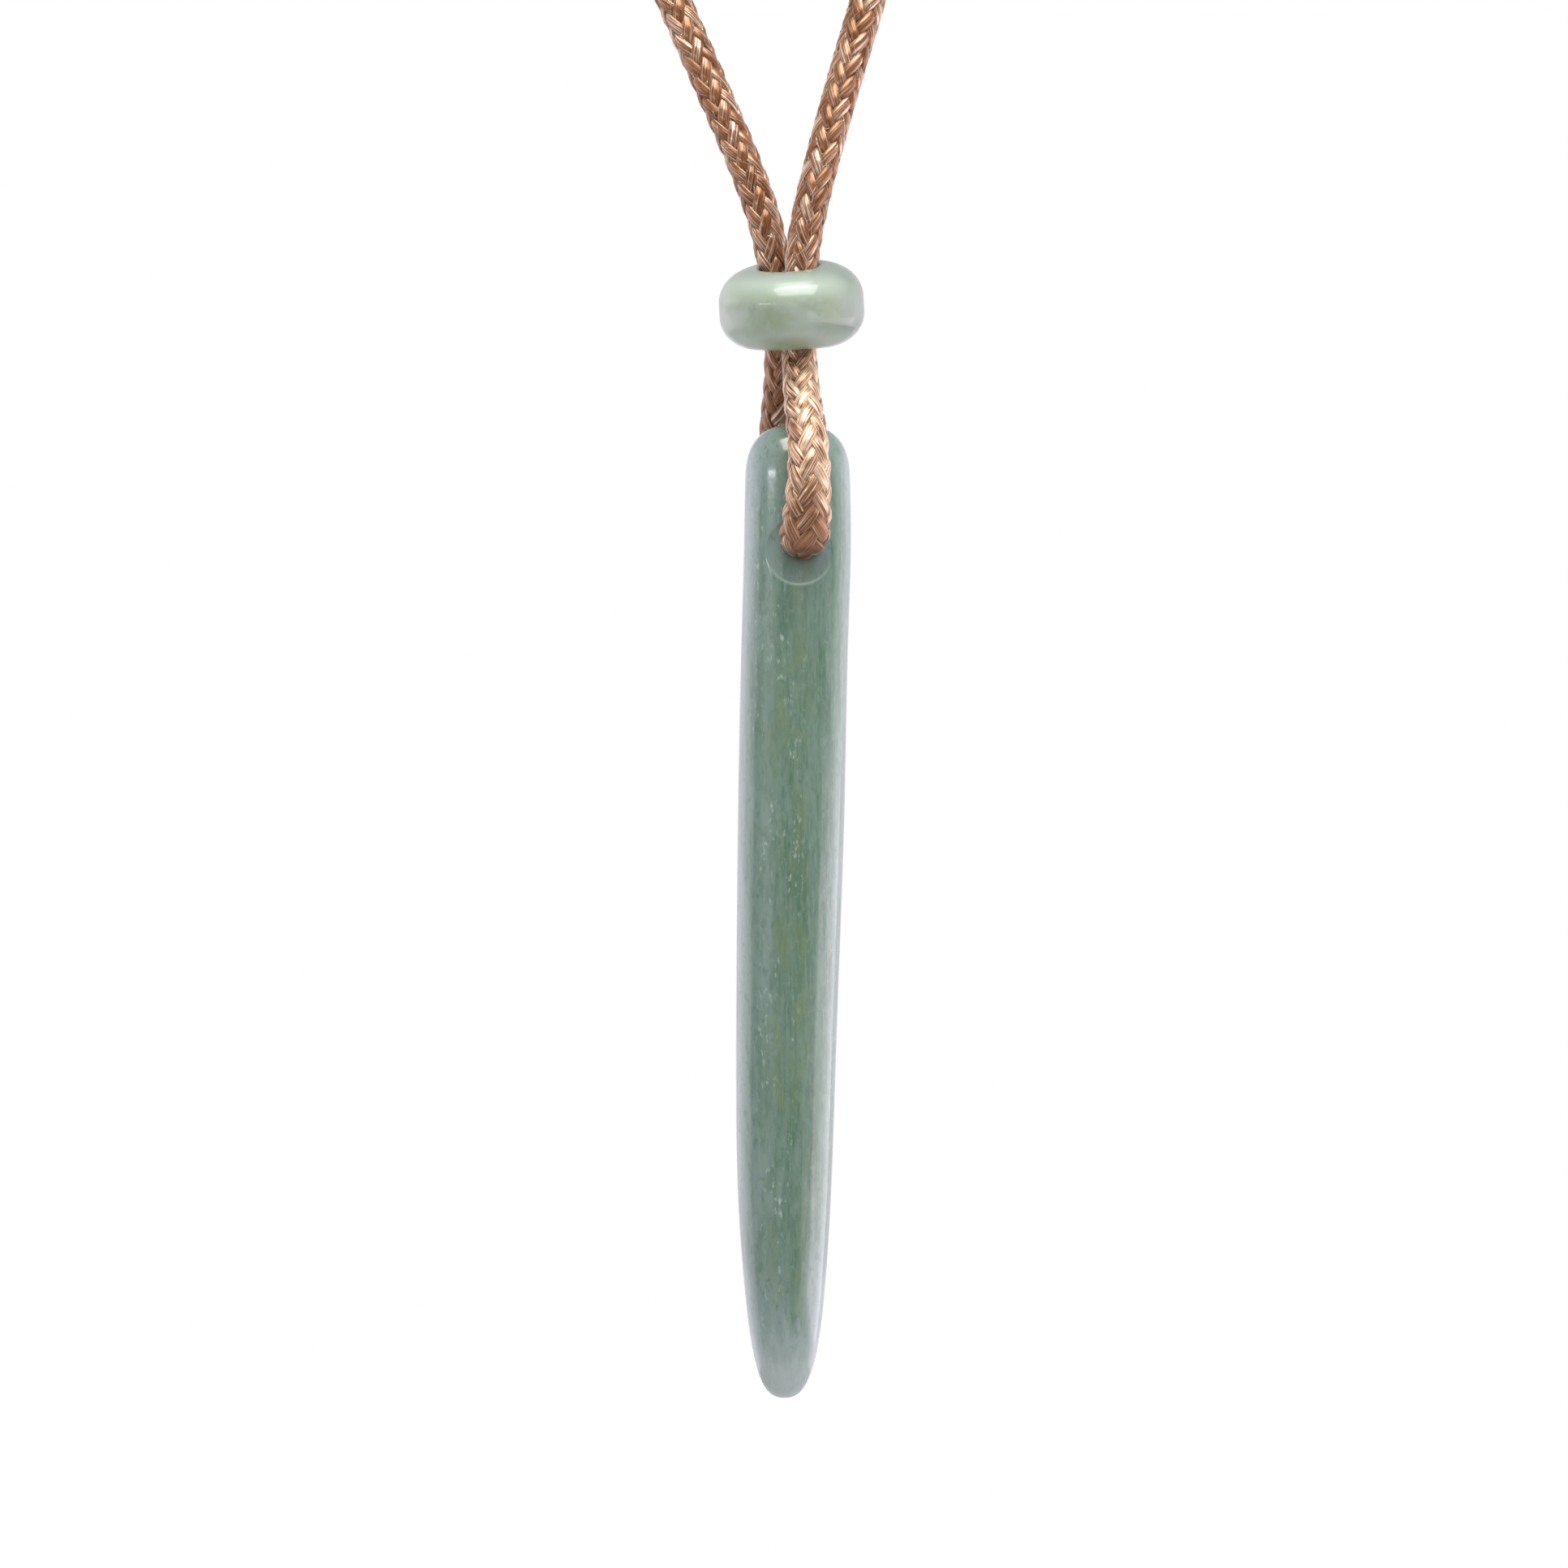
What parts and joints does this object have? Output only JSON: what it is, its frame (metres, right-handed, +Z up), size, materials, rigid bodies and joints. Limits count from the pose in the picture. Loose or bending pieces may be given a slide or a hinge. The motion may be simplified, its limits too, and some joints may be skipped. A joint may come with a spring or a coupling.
{
  "type": "jade pendant necklace",
  "caption": "Long rounded jade spike and a fat jade ring bead hung on a braided neck cord closed by a knot at the nape.",
  "frame": {"origin": "the nape, in the middle of the closing knot, where the necklace hangs on the wearer's neck", "axes": "+Z up, the front of the pendant faces -Y, +X to the right of the picture"},
  "size_m": [0.1225, 0.1339, 0.2553],
  "materials": {
    "green_jade": "polished, slightly translucent",
    "pale_jade": "polished, slightly translucent",
    "braided_cord": "satin braid"
  },
  "bodies": {
    "necklace": {"neck_cord": "braided_cord", "ring_bead": "pale_jade", "closing_knot": "braided_cord"},
    "pendant": {"jade_spike": "green_jade"}
  },
  "joints": [
    {"name": "pendant_swing", "type": "hinge", "parent": "necklace", "child": "pendant", "pos_m": [0.012, -0.125, -0.2], "axis": [0, 1, 0], "range_deg": [-120, 120]}
  ]
}
